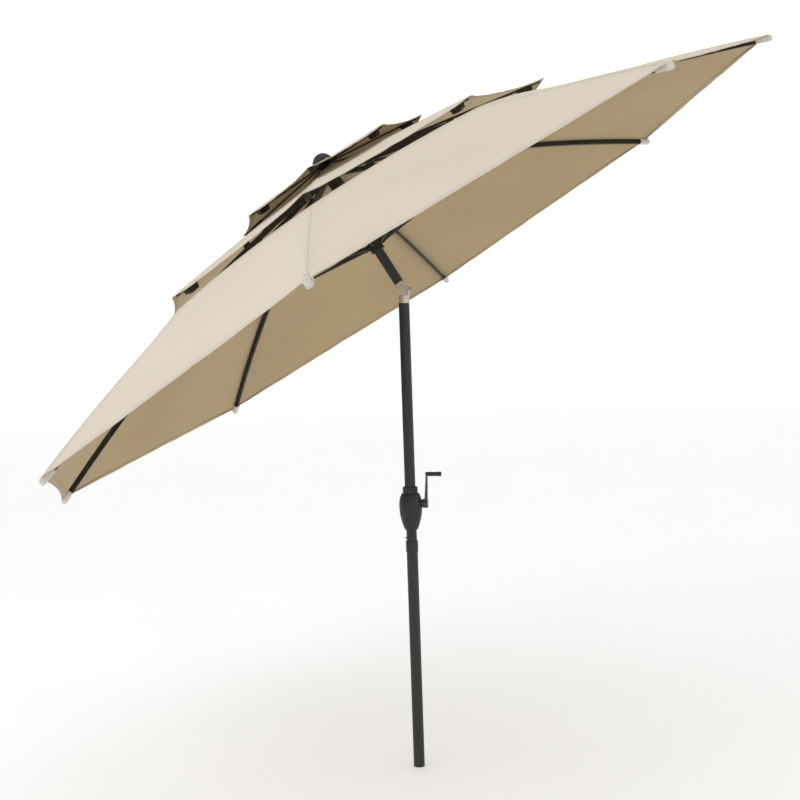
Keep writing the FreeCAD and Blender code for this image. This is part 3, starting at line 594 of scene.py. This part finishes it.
def pocket(tier, index):
    """Pale webbing pocket that caps the end of a main rib, open towards the hub."""
    direction, side = rib_direction(index), tangent(index)
    slope = (tier.height(POCKET_END) - tier.height(POCKET_END - POCKET_LENGTH)) / POCKET_LENGTH
    along = (direction + AXIS * slope).normalized()
    up = along.cross(side)
    up = up if up.dot(AXIS) > 0 else -up
    tip = PIVOT + direction * POCKET_END + AXIS * (tier.height(POCKET_END) + POCKET_LIFT)
    turns = [2 * math.pi * j / POCKET_SIDES for j in range(POCKET_SIDES)]
    vertices = []
    for inset in (0.0, POCKET_WALL):
        for t in POCKET_STATIONS:
            rounding = max(0.0, (t - POCKET_ROUND) / (1 - POCKET_ROUND)) ** POCKET_POWER
            closing = math.sqrt(1 - 0.82 * rounding)
            flare = 1 + POCKET_FLARE * max(0.0, 1 - t / POCKET_MOUTH)
            back = POCKET_LENGTH * (1 - t) + (inset if t > 0.5 else 0)
            centre = tip - along * back - up * (POCKET_DEEP / 2 * (1.35 - 0.35 * closing))
            half_wide = POCKET_WIDE / 2 * closing * flare - inset
            half_deep = POCKET_DEEP / 2 * closing * flare - inset
            vertices += [centre + side * half_wide * signed_root(math.cos(turn))
                         + up * half_deep * signed_root(math.sin(turn)) for turn in turns]

    def band(a, b, flip=False):
        """Ring of faces between two stations."""
        quads = [(a * POCKET_SIDES + j, a * POCKET_SIDES + (j + 1) % POCKET_SIDES,
                  b * POCKET_SIDES + (j + 1) % POCKET_SIDES, b * POCKET_SIDES + j)
                 for j in range(POCKET_SIDES)]
        return [tuple(reversed(quad)) for quad in quads] if flip else quads

    layers = len(POCKET_STATIONS)
    faces = []
    for i in range(layers - 1):
        faces += band(i, i + 1) + band(layers + i, layers + i + 1, flip=True)
    faces += band(layers, 0)
    faces.append(tuple((layers - 1) * POCKET_SIDES + j for j in range(POCKET_SIDES)))
    faces.append(tuple((2 * layers - 1) * POCKET_SIDES + j for j in reversed(range(POCKET_SIDES))))
    uvs = [(float((point - tip).dot(side)), float((point - tip).dot(along))) for point in vertices]
    piece = add_object("rib_pocket_%d" % (index + 1), vertices, faces, [POCKET], None, uvs)
    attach(piece, "rib_%d" % (index + 1))


# ---------------------------------------------------------------- hoist cord and springs
def hoist_cord():
    """Taut cord in the pole: its winding turns with the crank, and its run stays fixed where it lies."""
    mesh = frame["nodes"]["hoist_cord"].data
    corners = np.array([vertex.co for vertex in mesh.vertices], float)
    spool_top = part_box("cord_spool")[1]
    wound = (np.abs(corners[:, 0]) > spool_top[0] / 2) & (corners[:, 2] < spool_top[2])
    winding = add_object("hoist_cord_winding", *part_of(mesh, wound), [MATERIALS["cord"]])
    run = add_object("hoist_cord_run", *part_of(mesh, ~wound), [MATERIALS["cord"]])
    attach(winding, "crank")
    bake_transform(run)
    for piece in (winding, run):
        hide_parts("hoist_cord")


def spring(node):
    """A button's spring: it rides on the pole base."""
    mesh = frame["nodes"][node].data
    everything = np.ones(len(mesh.vertices), bool)
    coil = add_object(node + "_coil", *part_of(mesh, everything), [MATERIALS["steel"]])
    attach(coil, "pole_base")
    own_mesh(coil)
    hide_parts(node)


# ---------------------------------------------------------------- stage
def studio_floor():
    """Pale seamless floor that curves up into a low round wall, well clear of the object."""
    flat, curve, wall, below, spokes, steps = 15.0, 5.0, 9.0, 0.0005, 96, 12
    profile = [(flat * 0.5, 0.0), (flat, 0.0)]
    for i in range(1, steps + 1):
        angle = math.pi / 2 * i / steps
        profile.append((flat + curve * math.sin(angle), curve * (1 - math.cos(angle))))
    profile.append((flat + curve, wall))
    turns = [2 * math.pi * k / spokes for k in range(spokes)]
    vertices = [Vector((0, 0, -below))]
    vertices += [Vector((reach * math.cos(turn), reach * math.sin(turn), height - below))
                 for reach, height in profile for turn in turns]
    faces = [(0, 1 + k, 1 + (k + 1) % spokes) for k in range(spokes)]
    for ring in range(len(profile) - 1):
        for k in range(spokes):
            a, b = 1 + ring * spokes + k, 1 + ring * spokes + (k + 1) % spokes
            faces.append((a, a + spokes, b + spokes, b))
    material, nodes, links, shader = new_material("studio_floor")
    source = nodes.new("ShaderNodeTexCoord").outputs["Object"]
    tone = ramp(nodes, links, noise(nodes, links, source, 1.5),
                [(0.3, (0.86, 0.86, 0.855)), (0.7, (0.88, 0.88, 0.875))])
    links.new(tone, shader.inputs["Base Color"])
    shader.inputs["Roughness"].default_value = 0.7
    shader.inputs["Emission Color"].default_value = (1, 1, 1, 1)
    where = nodes.new("ShaderNodeSeparateXYZ")
    links.new(source, where.inputs["Vector"])
    lift = spread(nodes, links, where.outputs["Z"], 0.25, 0.55, top=curve)
    links.new(lift, shader.inputs["Emission Strength"])
    add_object("studio_floor", vertices, faces, [material])


def area_light(name, location, size, power):
    """Square soft light aimed at the middle of the pole."""
    data = bpy.data.lights.new(name, "AREA")
    data.shape = "RECTANGLE"
    data.size, data.size_y = size, size
    data.energy = power
    light = bpy.data.objects.new(name, data)
    light.location = location
    light.rotation_euler = (Vector((0, 0, 1.4)) - Vector(location)).to_track_quat("-Z", "Y").to_euler()
    bpy.context.scene.collection.objects.link(light)


def lights():
    world = bpy.data.worlds.new("studio")
    world.use_nodes = True
    background = world.node_tree.nodes["Background"]
    background.inputs["Color"].default_value = (1.0, 1.0, 1.0, 1)
    background.inputs["Strength"].default_value = 0.63
    bpy.context.scene.world = world
    area_light("key", (-3.2, -4.6, 5.6), 4.0, 76)
    area_light("fill", (4.8, -3.8, 2.4), 3.5, 14)
    area_light("top", (0.5, 1.0, 6.5), 5.0, 30)


def camera():
    """Eye-level view from the front, leaning a little, as on a tripod."""
    yaw, pitch, roll = (math.radians(angle) for angle in (-8.61, -4.86, -1.93))
    ahead = Vector((math.sin(yaw) * math.cos(pitch), math.cos(yaw) * math.cos(pitch), math.sin(pitch)))
    level = ahead.cross(Vector((0, 0, 1))).normalized()
    upright = level.cross(ahead)
    right = math.cos(roll) * level + math.sin(roll) * upright
    up = math.cos(roll) * upright - math.sin(roll) * level
    data = bpy.data.cameras.new("camera")
    data.sensor_width = 36.0
    data.lens = 62.3
    data.clip_end = 200.0
    thing = bpy.data.objects.new("camera", data)
    turn = Matrix((right, up, -ahead)).transposed().to_4x4()
    thing.matrix_world = Matrix.Translation((0.6462, -4.4236, 1.5977)) @ turn
    bpy.context.scene.collection.objects.link(thing)
    bpy.context.scene.camera = thing


# ---------------------------------------------------------------- build the object
dress_frame()

MAIN = Tier("main", "main_canopy", inner=0.736, corner=1.372, blunt=1.354, sag=(-0.008, 0.001),
            hem_curve=0.020, inner_curve=0.004, rise=0.010, tab=0.016)
SECOND = Tier("second", "tier2_canopy", inner=0.020, corner=0.736, blunt=0.730, sag=(0.0, 0.006),
              hem_curve=0.014, inner_curve=0.0)
THIRD = Tier("third", "tier3_canopy", inner=0.008, corner=0.354, blunt=0.350, sag=(0.0, 0.004),
             hem_curve=0.010, inner_curve=0.0)

sew(MAIN, "rib_%d", inner_hem=True)
sew(SECOND, "rib_%d")
sew(THIRD, "tier3_arm_%d")
for index in range(RIBS):
    pocket(MAIN, index)
hoist_cord()
spring("snap_spring")
spring("tilt_spring")

studio_floor()
lights()
camera()
bpy.context.scene.view_settings.view_transform = "Standard"
